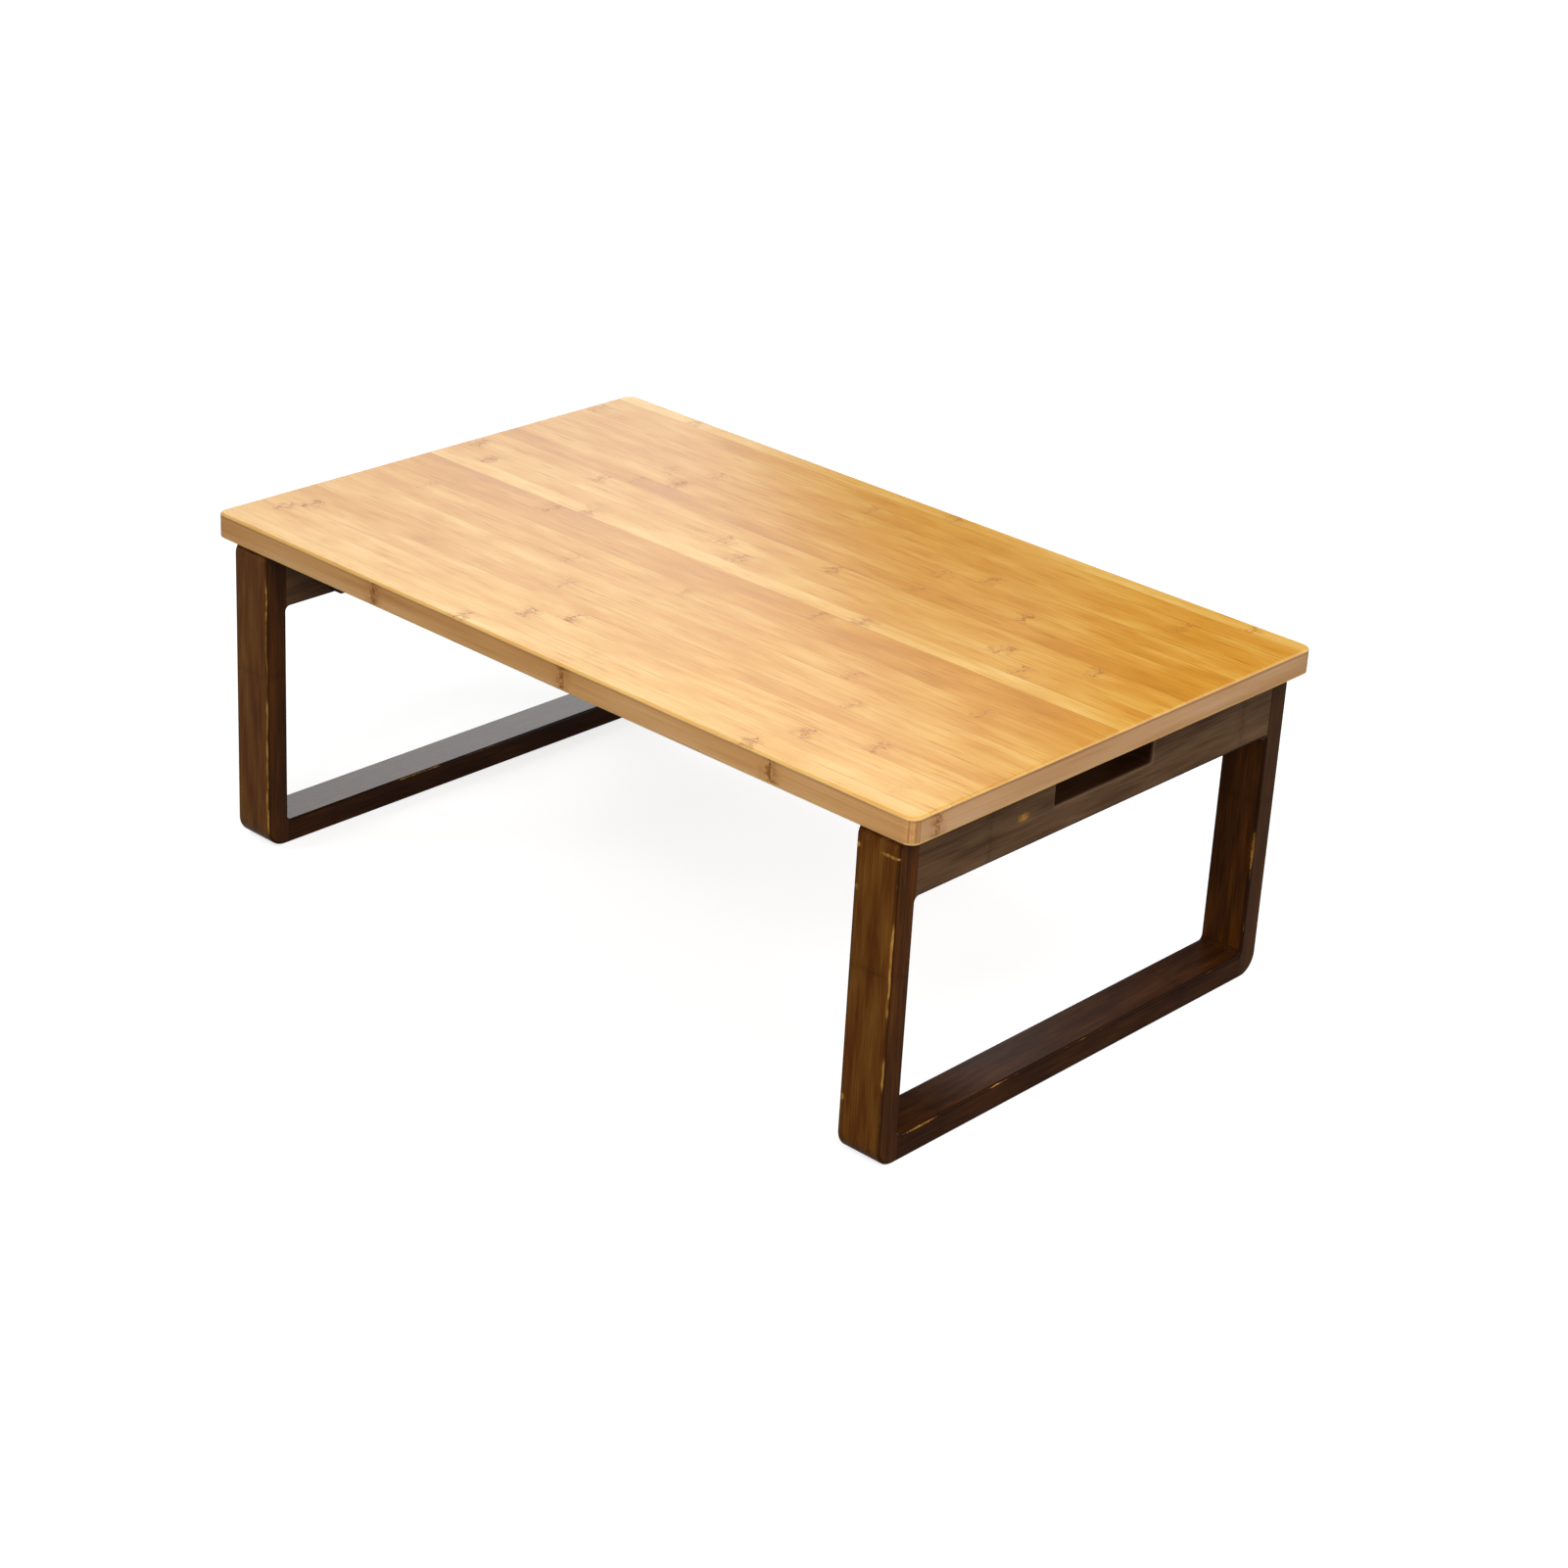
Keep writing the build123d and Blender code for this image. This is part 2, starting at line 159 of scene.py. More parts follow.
# The top's strips from the back edge on, with lengths in mm. Tone runs from 0, dark, to 1, pale. The first
# culm knuckle is measured from the left end, and knuckles_shown is how strongly the knuckles show.
Strip = namedtuple("Strip", "width tone first_knuckle knuckle_spacing knuckles_shown")
STRIPS = [Strip(*row) for row in (
    (14.2, 0.70, 77, 264, 0.7),
    (19.1, 0.45, 140, 262, 0.2),
    (18.0, 0.46, 4, 283, 0.7),
    (19.1, 0.46, 30, 268, 0.2),
    (17.1, 0.47, 176, 262, 0.7),
    (16.7, 0.44, 140, 262, 0.7),
    (17.5, 0.48, 167, 329, 1.0),
    (18.7, 0.32, 140, 270, 0.7),
    (16.7, 0.49, 123, 229, 0.8),
    (17.9, 0.55, 8, 254, 0.9),
    (18.3, 0.52, 38, 254, 1.0),
    (15.5, 0.71, 165, 262, 0.9),
    (18.7, 0.34, 144, 258, 0.9),
    (18.8, 0.35, 60, 270, 0.2),
    (18.7, 0.48, 47, 262, 0.7),
    (17.9, 0.48, 229, 262, 0.7),
    (17.1, 0.56, 100, 280, 0.2),
    (17.5, 0.52, 255, 262, 0.7),
    (17.5, 0.45, 190, 256, 0.2),
    (17.9, 0.56, 31, 268, 1.0),
    (17.5, 0.60, 21, 250, 1.0),
    (18.8, 0.64, 90, 262, 0.2),
    (15.8, 0.66, 250, 260, 1.0),
)]
KNUCKLE_SPACING_MOST = 400.0  # mm, more than any in the table, because a curve holds values up to 1


def from_nearest_knuckle(tree, along, first, spacing):
    """Signed distance in metres from the nearest of the knuckles that start at first, at that spacing."""
    offset = add(tree, "ShaderNodeMath", {0: along, 1: first}, operation="SUBTRACT")
    turns = add(tree, "ShaderNodeMath", {0: offset, 1: spacing}, operation="DIVIDE")
    whole = add(tree, "ShaderNodeMath", {0: turns}, operation="ROUND")
    part = add(tree, "ShaderNodeMath", {0: turns, 1: whole}, operation="SUBTRACT")
    return add(tree, "ShaderNodeMath", {0: part, 1: spacing}, operation="MULTIPLY")


def knuckle_marks(tree, place, fibres, offset, strength, reach=0.0045):
    """Culm knuckles planed flat: a broken brown line across the strip, brown fibres beside it, a pale rim.

    Offset is the distance from the nearest knuckle, and reach is how far its line and scribble spread.
    Returns how brown and how pale the wood is there, each from 0 to 1.
    """
    distance = add(tree, "ShaderNodeMath", {0: offset}, operation="ABSOLUTE")
    # The line is ragged over 2 mm, the brown patchy over 7 mm and scribbled over 3 mm
    ragged = add(tree, "ShaderNodeTexNoise", {"Vector": place, "Scale": 480.0, "Detail": 2.0})
    patchy = add(tree, "ShaderNodeTexNoise", {"Vector": place, "Scale": 140.0, "Detail": 2.0})
    line = add(tree, "ShaderNodeMapRange", {"Value": distance, "From Min": 0.0003, "From Max": 0.6 * reach,
                                            "To Min": 1.0, "To Max": 0.0}, interpolation_type="SMOOTHSTEP")
    broken = add(tree, "ShaderNodeMapRange", {"Value": ragged, "From Min": 0.43, "From Max": 0.56},
                 interpolation_type="SMOOTHSTEP")
    line = add(tree, "ShaderNodeMath", {0: line, 1: broken}, operation="MULTIPLY")
    beside = add(tree, "ShaderNodeMapRange", {"Value": distance, "From Min": 0.001, "From Max": 0.012,
                                              "To Min": 1.0, "To Max": 0.0}, interpolation_type="SMOOTHSTEP")
    browned = add(tree, "ShaderNodeMapRange", {"Value": fibres, "From Min": 0.44, "From Max": 0.62})
    spread = add(tree, "ShaderNodeMapRange", {"Value": patchy, "From Min": 0.38, "From Max": 0.58})
    trail = add(tree, "ShaderNodeMath", {0: beside, 1: browned}, operation="MULTIPLY")
    trail = add(tree, "ShaderNodeMath", {0: trail, 1: spread}, operation="MULTIPLY")
    scribble = add(tree, "ShaderNodeTexNoise", {"Vector": place, "Scale": 330.0, "Detail": 2.0})
    scribble = add(tree, "ShaderNodeMapRange", {"Value": scribble, "From Min": 0.42, "From Max": 0.60,
                                                "To Max": 0.8})
    around = add(tree, "ShaderNodeMapRange", {"Value": distance, "From Min": 0.4 * reach, "From Max": reach,
                                              "To Min": 1.0, "To Max": 0.0})
    scribble = add(tree, "ShaderNodeMath", {0: scribble, 1: around}, operation="MULTIPLY")
    brown = add(tree, "ShaderNodeMath", {0: line, 1: trail}, operation="MAXIMUM")
    brown = add(tree, "ShaderNodeMath", {0: brown, 1: scribble}, operation="MAXIMUM")
    brown = add(tree, "ShaderNodeMath", {0: brown, 1: strength}, operation="MULTIPLY", use_clamp=True)
    rim = add(tree, "ShaderNodeMath", {0: distance, 1: 0.0024}, operation="SUBTRACT")
    rim = add(tree, "ShaderNodeMath", {0: rim}, operation="ABSOLUTE")
    rim = add(tree, "ShaderNodeMapRange", {"Value": rim, "From Max": 0.0022, "To Min": 0.25, "To Max": 0.0})
    rim = add(tree, "ShaderNodeMath", {0: rim, 1: spread}, operation="MULTIPLY")
    pale = add(tree, "ShaderNodeMath", {0: rim, 1: strength}, operation="MULTIPLY", use_clamp=True)
    return brown, pale


def lacquered_bamboo_strips():
    """Carbonised moso bamboo, edge-glued in strips, sanded and sprayed with satin lacquer.

    The eye gets warm gold strips of slightly different tone, fine long fibres, brown knuckle marks that
    each strip has at its own places, hair-thin glue lines, a broad soft sheen and a pale arris that is a
    painted highlight.
    """
    material, tree, place = new_material("lacquered_bamboo_strips")
    axes = add(tree, "ShaderNodeSeparateXYZ", {"Vector": place}).outputs
    from_back = add(tree, "ShaderNodeMapRange", {"Value": axes["Y"], "From Min": top_width / 2,
                                                 "From Max": -top_width / 2})

    # Which strip, and where across it
    edges = [sum(strip.width for strip in STRIPS[:i]) / (top_width / MM) for i in range(len(STRIPS) + 1)]
    count = float(len(STRIPS))
    strips = add(tree, "ShaderNodeFloatCurve", {"Value": from_back},
                 points=[(edge, i / count) for i, edge in enumerate(edges)])
    strips = add(tree, "ShaderNodeMath", {0: strips, 1: count}, operation="MULTIPLY")
    index = add(tree, "ShaderNodeMath", {0: strips}, operation="FLOOR")
    across = add(tree, "ShaderNodeMath", {0: strips, 1: index}, operation="SUBTRACT")
    middle = add(tree, "ShaderNodeMath", {0: index, 1: 0.5}, operation="ADD")
    middle = add(tree, "ShaderNodeMath", {0: middle, 1: count}, operation="DIVIDE")

    def of_its_strip(values):
        """The strips' own values, from 0 to 1, each all over its strip."""
        return add(tree, "ShaderNodeFloatCurve", {"Value": middle},
                   points=[((i + 0.5) / count, value) for i, value in enumerate(values)])

    tone = of_its_strip([strip.tone for strip in STRIPS])
    first, spacing = (
        add(tree, "ShaderNodeMath", {0: of_its_strip([length / KNUCKLE_SPACING_MOST for length in lengths]),
                                     1: KNUCKLE_SPACING_MOST * MM}, operation="MULTIPLY")
        for lengths in ([strip.first_knuckle for strip in STRIPS],
                        [strip.knuckle_spacing for strip in STRIPS]))
    strength = of_its_strip([strip.knuckles_shown for strip in STRIPS])

    # Each strip's pattern starts at its own place, so fibres stop at the glue lines
    apart = add(tree, "ShaderNodeMath", {0: index, 1: 0.37}, operation="MULTIPLY")
    apart = add(tree, "ShaderNodeCombineXYZ", {"Z": apart})
    own_place = add(tree, "ShaderNodeVectorMath", {0: place, 1: apart}, operation="ADD")

    # Real fibre bundles are 0.3 mm wide, drawn 0.7 mm wide to show
    fibres = stretched_noise(tree, own_place, "x", 55, 0.7, detail=2.0, roughness=0.6)
    cords = stretched_noise(tree, own_place, "x", 110, 2.4, detail=2.0)
    clouds = stretched_noise(tree, own_place, "x", 60, 16, detail=1.0)
    dark_fibres = stretched_noise(tree, own_place, "x", 30, 0.8, detail=1.0, start=(3.0, 5.0, 7.0))
    dark_fibres = add(tree, "ShaderNodeMapRange", {"Value": dark_fibres, "From Min": 0.60, "From Max": 0.72,
                                                   "To Max": 0.42})

    # Knuckles wander by up to 5 mm as they cross the strip
    wander = add(tree, "ShaderNodeTexNoise", {"Vector": own_place, "Scale": 200.0, "Detail": 1.0})
    wander = add(tree, "ShaderNodeMapRange", {"Value": wander, "From Min": 0.25, "From Max": 0.75,
                                              "To Min": -0.005, "To Max": 0.005})
    along = add(tree, "ShaderNodeMath", {0: axes["X"], 1: top_length / 2}, operation="ADD")
    along = add(tree, "ShaderNodeMath", {0: along, 1: wander}, operation="ADD")
    offset = from_nearest_knuckle(tree, along, first, spacing)
    brown, pale = knuckle_marks(tree, own_place, fibres, offset, strength)

    shade = add(tree, "ShaderNodeMath", {0: fibres, 1: 0.42, 2: tone}, operation="MULTIPLY_ADD")
    shade = add(tree, "ShaderNodeMath", {0: cords, 1: 0.26, 2: shade}, operation="MULTIPLY_ADD")
    shade = add(tree, "ShaderNodeMath", {0: clouds, 1: 0.60, 2: shade}, operation="MULTIPLY_ADD")
    shade = add(tree, "ShaderNodeMath", {0: shade, 1: dark_fibres}, operation="SUBTRACT")
    patterns_mean = 0.71
    shade = add(tree, "ShaderNodeMath", {0: shade, 1: patterns_mean}, operation="SUBTRACT")
    wood = add(tree, "ShaderNodeValToRGB", {"Fac": shade},
               points=[(0.0, "#B7751D"), (0.3, "#CE8E2D"), (0.5, "#D9A142"), (0.75, "#E4B65E"),
                       (1.0, "#F1D192")])
    rimmed = add(tree, "ShaderNodeMix", {"Factor": pale, "A": wood, "B": "#F0CC8C"}, data_type="RGBA")
    marked = add(tree, "ShaderNodeMix", {"Factor": brown, "A": rimmed, "B": "#A8651A"}, data_type="RGBA")

    # Glue lines 0.2 mm wide, drawn 0.5 mm wide to show, and seen only here and there
    from_side = add(tree, "ShaderNodeMath", {0: across, 1: 0.5}, operation="SUBTRACT")
    from_side = add(tree, "ShaderNodeMath", {0: from_side}, operation="ABSOLUTE")
    glue = add(tree, "ShaderNodeMapRange", {"Value": from_side, "From Min": 0.475, "From Max": 0.495,
                                            "To Max": 0.8}, interpolation_type="SMOOTHSTEP")
    shown = add(tree, "ShaderNodeMapRange", {"Value": clouds, "From Min": 0.42, "From Max": 0.66})
    glue = add(tree, "ShaderNodeMath", {0: glue, 1: shown}, operation="MULTIPLY")
    glued = add(tree, "ShaderNodeMix", {"Factor": glue, "A": marked, "B": "#A2641F"}, data_type="RGBA")

    # The sheen breaks up over the open grain of dark fibres and knuckles
    shine = add(tree, "ShaderNodeMapRange", {"Value": shade, "From Min": 0.30, "From Max": 0.70,
                                             "To Min": 0.080, "To Max": 0.105})
    shine = add(tree, "ShaderNodeMath", {0: brown, 1: -0.05, 2: shine}, operation="MULTIPLY_ADD",
                use_clamp=True)
    # Painted highlight: pale cream along the top's rounded arris
    from_outline = from_rounded_outline(tree, axes["X"], axes["Y"], 0.0, top_length / 2, top_width / 2,
                                        top_corner_radius)
    arris = add(tree, "ShaderNodeMapRange", {"Value": from_outline, "From Min": -0.0016, "From Max": -0.0004,
                                             "To Max": 0.4})
    arris_highlighted = add(tree, "ShaderNodeMix", {"Factor": arris, "A": glued, "B": "#EFCB94"}, data_type="RGBA")
    roughness = add(tree, "ShaderNodeMapRange", {"Value": fibres, "To Min": 0.12, "To Max": 0.17})
    finish_material(tree, bump=fibres, bump_depth=0.00003, Base_Color=arris_highlighted, Roughness=roughness,
                    IOR=1.5, Specular_IOR_Level=shine)
    return material


def lacquered_bamboo_edge(name, axis, first_knuckle, knuckle_spacing, top_darkening, tones):
    """Solid bamboo edge band under satin lacquer.

    The eye gets a plainer, browner bamboo with long fine fibres, a knuckle here and there across its whole
    height, wood darker towards its top, and a pale arris that is a painted highlight.
    """
    material, tree, place = new_material(name)
    axes = add(tree, "ShaderNodeSeparateXYZ", {"Vector": place}).outputs
    # Real fibre bundles are 0.3 mm wide, drawn 0.7 mm wide to show
    fibres = stretched_noise(tree, place, axis, 70, 0.7, detail=2.0, roughness=0.6)
    clouds = stretched_noise(tree, place, axis, 110, 9, detail=1.0)
    offset = from_nearest_knuckle(tree, axes[axis.upper()], first_knuckle, knuckle_spacing)
    brown, pale = knuckle_marks(tree, place, fibres, offset, 0.9, reach=0.0058)
    shade = add(tree, "ShaderNodeMath", {0: fibres, 1: 0.5}, operation="MULTIPLY")
    shade = add(tree, "ShaderNodeMath", {0: clouds, 1: 0.5, 2: shade}, operation="MULTIPLY_ADD")
    wood = add(tree, "ShaderNodeValToRGB", {"Fac": shade}, points=list(zip((0.25, 0.5, 0.75), tones)))
    rimmed = add(tree, "ShaderNodeMix", {"Factor": pale, "A": wood, "B": "#E9C08A"}, data_type="RGBA")
    marked = add(tree, "ShaderNodeMix", {"Factor": brown, "A": rimmed, "B": "#8A4E1C"}, data_type="RGBA")
    # The band is darker towards its top, just under the arris
    glue = add(tree, "ShaderNodeMapRange", {"Value": axes["Z"], "From Min": top_height - 0.0040,
                                            "From Max": top_height - 0.0018, "To Max": top_darkening},
               interpolation_type="SMOOTHSTEP")
    glued = add(tree, "ShaderNodeMix", {"Factor": glue, "A": marked, "B": "#6E3D17"}, data_type="RGBA")

    # Where the long band meets the end band at a corner: the joint, and the end grain beside it
    outboard = add(tree, "ShaderNodeMath", {0: axes["X"]}, operation="ABSOLUTE")
    corner = add(tree, "ShaderNodeMath", {0: outboard, 1: top_length / 2 - 0.006}, operation="GREATER_THAN")
    grain = stretched_noise(tree, place, "z", 60, 1.6, detail=1.0)
    grain = add(tree, "ShaderNodeMapRange", {"Value": grain, "From Min": 0.50, "From Max": 0.66,
                                             "To Max": 0.55})
    aside = add(tree, "ShaderNodeMath", {0: axes["Y"]}, operation="ABSOLUTE")
    aside = add(tree, "ShaderNodeMath", {0: aside, 1: top_width / 2 - band_thickness}, operation="SUBTRACT")
    in_long_band = add(tree, "ShaderNodeMath", {0: aside, 1: -0.003}, operation="GREATER_THAN")
    grain = add(tree, "ShaderNodeMath", {0: grain, 1: in_long_band}, operation="MULTIPLY")
    joint = add(tree, "ShaderNodeMath", {0: aside}, operation="ABSOLUTE")
    joint = add(tree, "ShaderNodeMapRange", {"Value": joint, "From Min": 0.0002, "From Max": 0.0007,
                                             "To Min": 0.6, "To Max": 0.0})
    joint = add(tree, "ShaderNodeMath", {0: joint, 1: grain}, operation="MAXIMUM")
    joint = add(tree, "ShaderNodeMath", {0: joint, 1: corner}, operation="MULTIPLY")
    jointed = add(tree, "ShaderNodeMix", {"Factor": joint, "A": glued, "B": "#8A5A30"}, data_type="RGBA")
    # Painted highlight: the arris is painted pale, above the band's darkening just below it
    arris = add(tree, "ShaderNodeMapRange", {"Value": axes["Z"], "From Min": top_height - 0.0014,
                                             "From Max": top_height - 0.0004, "To Max": 0.3})
    arris_highlighted = add(tree, "ShaderNodeMix", {"Factor": arris, "A": jointed, "B": "#EFCB94"}, data_type="RGBA")
    roughness = add(tree, "ShaderNodeMapRange", {"Value": fibres, "To Min": 0.30, "To Max": 0.42})
    finish_material(tree, bump=fibres, bump_depth=0.00005, Base_Color=arris_highlighted, Roughness=roughness,
                    IOR=1.5, Specular_IOR_Level=0.12)
    return material


def leg_distances(tree, axes):
    """Distances in metres from a leg's two faces, from its arrises and from its hand-hold's arrises."""
    outboard = add(tree, "ShaderNodeMath", {0: axes["X"]}, operation="ABSOLUTE")
    from_middle = add(tree, "ShaderNodeMath", {0: outboard, 1: leg_outside - leg_depth / 2},
                      operation="SUBTRACT")
    from_middle = add(tree, "ShaderNodeMath", {0: from_middle}, operation="ABSOLUTE")
    from_face = add(tree, "ShaderNodeMath", {0: leg_depth / 2, 1: from_middle}, operation="SUBTRACT")

    low = add(tree, "ShaderNodeMath", {0: axes["Z"], 1: leg_height / 2}, operation="LESS_THAN")
    corner_radius = add(tree, "ShaderNodeMath", {0: low, 1: lower_corner_radius - upper_corner_radius,
                                                 2: upper_corner_radius}, operation="MULTIPLY_ADD")
    outline = from_rounded_outline(tree, axes["Y"], axes["Z"], leg_height / 2, leg_half_width,
                                   leg_height / 2, corner_radius)
    outline = add(tree, "ShaderNodeMath", {0: outline}, operation="ABSOLUTE")
    opening_height = leg_height - top_rail_height - bottom_rail_height
    opening = from_rounded_outline(tree, axes["Y"], axes["Z"], bottom_rail_height + opening_height / 2,
                                   leg_half_width - post_thickness, opening_height / 2,
                                   opening_corner_radius)
    opening = add(tree, "ShaderNodeMath", {0: opening}, operation="ABSOLUTE")
    grip = from_rounded_outline(tree, axes["Y"], axes["Z"], leg_height, grip_half_width, grip_depth,
                                grip_corner_radius)
    grip = add(tree, "ShaderNodeMath", {0: grip}, operation="ABSOLUTE")
    nearest = add(tree, "ShaderNodeMath", {0: outline, 1: opening}, operation="MINIMUM")
    return (from_face, add(tree, "ShaderNodeMath", {0: from_face, 1: nearest}, operation="MAXIMUM"),
            add(tree, "ShaderNodeMath", {0: from_face, 1: grip}, operation="MAXIMUM"))


def front_post_wear(tree, axes):
    """How far hands have worn the right-hand arris of each front post, from its foot to its top."""
    height = add(tree, "ShaderNodeMath", {0: axes["Z"], 1: leg_height}, operation="DIVIDE")
    left = add(tree, "ShaderNodeFloatCurve", {"Value": height},
               points=[(0.0, 0.3), (0.05, 0.95), (0.30, 0.75), (0.48, 0.80), (0.54, 0.25), (0.62, 0.50),
                       (0.90, 0.55), (0.95, 0.10), (1.0, 0.0)])
    right = add(tree, "ShaderNodeFloatCurve", {"Value": height},
                points=[(0.0, 0.10), (0.24, 0.10), (0.27, 0.85), (0.33, 0.75), (0.36, 0.05), (0.45, 0.10),
                        (0.49, 0.75), (0.71, 1.0), (0.76, 0.15), (0.80, 0.0), (1.0, 0.0)])
    on_right = add(tree, "ShaderNodeMath", {0: axes["X"], 1: 0.0}, operation="GREATER_THAN")
    worn = add(tree, "ShaderNodeMix", {"Factor": on_right, "A": left, "B": right})
    side = add(tree, "ShaderNodeMath", {0: axes["X"]}, operation="SIGN")
    outboard = add(tree, "ShaderNodeMath", {0: axes["X"]}, operation="ABSOLUTE")
    past_middle = add(tree, "ShaderNodeMath", {0: outboard, 1: leg_outside - leg_depth / 2},
                      operation="SUBTRACT")
    right_hand = add(tree, "ShaderNodeMath", {0: past_middle, 1: side}, operation="MULTIPLY")
    right_hand = add(tree, "ShaderNodeMath", {0: right_hand, 1: 0.0}, operation="GREATER_THAN")
    front = add(tree, "ShaderNodeMath", {0: axes["Y"], 1: 0.0008 - leg_half_width}, operation="LESS_THAN")
    worn = add(tree, "ShaderNodeMath", {0: worn, 1: right_hand}, operation="MULTIPLY")
    return add(tree, "ShaderNodeMath", {0: worn, 1: front}, operation="MULTIPLY")


def rubbed_and_highlit_spots(tree, place, spots_and_highlights):
    """How far the gold shows in ragged spots, given by middles and half sizes in metres: where the stain is
    rubbed through, and along the bottom rail's arris as a painted highlight.
    """
    ragged = add(tree, "ShaderNodeTexNoise", {"Vector": place, "Scale": 700.0, "Detail": 2.0})
    rubbed_and_highlit = 0.0
    for middle, half in spots_and_highlights:
        away = add(tree, "ShaderNodeVectorMath", {0: place, 1: middle}, operation="SUBTRACT")
        away = add(tree, "ShaderNodeVectorMath", {0: away, 1: half}, operation="DIVIDE")
        away = add(tree, "ShaderNodeVectorMath", {0: away}, operation="LENGTH").outputs["Value"]
        away = add(tree, "ShaderNodeMath", {0: ragged, 1: 1.3, 2: away}, operation="MULTIPLY_ADD")
        spot = add(tree, "ShaderNodeMapRange", {"Value": away, "From Min": 1.2, "From Max": 1.8,
                                                "To Min": 0.9, "To Max": 0.0})
        rubbed_and_highlit = add(tree, "ShaderNodeMath", {0: spot, 1: rubbed_and_highlit}, operation="MAXIMUM")
    return rubbed_and_highlit


# Stained wood from its darkest fibres to its lightest. The bottom rail's tones are darker and more even, as
# painted shade, and the top rail's are greyed, as a painted reflection.
WALNUT = ("#2A1206", "#44250D", "#5F330E", "#72481A", "#8A6026")
SHADED_WALNUT = ("#1E0E06", "#2F180A", "#40220C", "#523012", "#6B461B")
REFLECTION_GREYED_WALNUT = ("#2C1B11", "#46301F", "#5A402B", "#6C5037", "#816547")


def walnut_stained_bamboo(name, gloss, axis, first_knuckle, knuckle_spacing, extra_shade, tones, spots_and_highlights):
    """Bamboo stained walnut brown and sprayed with half-gloss lacquer, then used for years.

    The eye gets a deep brown with fine lighter fibres where the stain took less, and the gold of the bamboo
    where hands and floor have rubbed the arrises through. Painted shade darkens the arrises, the posts' side
    faces, the back post's inner face, the hand-hold and the whole bottom rail; a painted highlight rims the
    hand-hold and runs along the bottom rail's arris; and a painted reflection greys the top rail and the
    posts' sides. Gloss is what is left of the lacquer's shine, and the extra shade given after the knuckles
    is how much darker than the posts the piece is painted.
    """
    is_post = axis == "z"
    material, tree, place = new_material(name)
    axes = add(tree, "ShaderNodeSeparateXYZ", {"Vector": place}).outputs
    from_face, from_arris, from_grip = leg_distances(tree, axes)
    # Real fibre bundles are 0.3 mm wide, drawn 0.9 mm wide to show
    fibres = stretched_noise(tree, place, axis, 45, 0.9, detail=2.0, roughness=0.65)
    clouds = stretched_noise(tree, place, axis, 60, 9, detail=2.0)
    shade = add(tree, "ShaderNodeMath", {0: fibres, 1: 0.40}, operation="MULTIPLY")
    shade = add(tree, "ShaderNodeMath", {0: clouds, 1: 0.45, 2: shade}, operation="MULTIPLY_ADD")
    # Painted shade: a piece is darker all over by its extra shade, the bottom rail most
    shade = add(tree, "ShaderNodeMath", {0: shade, 1: extra_shade - 0.15}, operation="SUBTRACT")
    if is_post:
        # Painted shade: the posts' faces across the lay-up are darker, and the back post's inner face, which
        # the top shades, darker still
        side = add(tree, "ShaderNodeMath", {0: from_face, 1: 0.0006}, operation="LESS_THAN")
        # Compared with half the way from the middle of the table to 1.5 mm inside the back post
        half_way = (leg_half_width - post_thickness + 1.5 * MM) / 2
        shaded_inner_face = add(tree, "ShaderNodeMath", {0: axes["Y"], 1: half_way, 2: half_way}, operation="COMPARE")
        shade = add(tree, "ShaderNodeMath", {0: side, 1: -0.13, 2: shade}, operation="MULTIPLY_ADD")
        shade = add(tree, "ShaderNodeMath", {0: shaded_inner_face, 1: -0.18, 2: shade}, operation="MULTIPLY_ADD")
    wood = add(tree, "ShaderNodeValToRGB", {"Fac": shade},
               points=list(zip((0.25, 0.40, 0.52, 0.64, 0.80), tones)))
    if is_post:
        # Painted reflection: the posts' sides are greyed, the back posts' more than the front ones
        reflection_greyed = add(tree, "ShaderNodeMapRange", {"Value": axes["Y"], "From Min": -leg_half_width,
                                                  "From Max": leg_half_width, "To Min": 0.1, "To Max": 0.6})
        reflection_greyed = add(tree, "ShaderNodeMath", {0: reflection_greyed, 1: side}, operation="MULTIPLY")
        wood = add(tree, "ShaderNodeMix", {"Factor": reflection_greyed, "A": wood, "B": "#46301F"}, data_type="RGBA")
    offset = from_nearest_knuckle(tree, axes[axis.upper()], first_knuckle, knuckle_spacing)
    brown, _ = knuckle_marks(tree, place, fibres, offset, 0.3)
    marked = add(tree, "ShaderNodeMix", {"Factor": brown, "A": wood, "B": "#200D05"}, data_type="RGBA")

    # Painted shade darkens the arrises, and a painted highlight makes a pale rim round the hand-hold
    arris = add(tree, "ShaderNodeMapRange", {"Value": from_arris, "From Min": 0.0012, "From Max": 0.0026,
                                             "To Min": 0.6, "To Max": 0.0}, interpolation_type="SMOOTHSTEP")
    edged = add(tree, "ShaderNodeMix", {"Factor": arris, "A": marked, "B": "#160904"}, data_type="RGBA")
    rim = add(tree, "ShaderNodeMapRange", {"Value": from_grip, "From Min": 0.0006, "From Max": 0.0020,
                                           "To Min": 0.35, "To Max": 0.0}, interpolation_type="SMOOTHSTEP")
    edged = add(tree, "ShaderNodeMix", {"Factor": rim, "A": edged, "B": "#8C7360"}, data_type="RGBA")
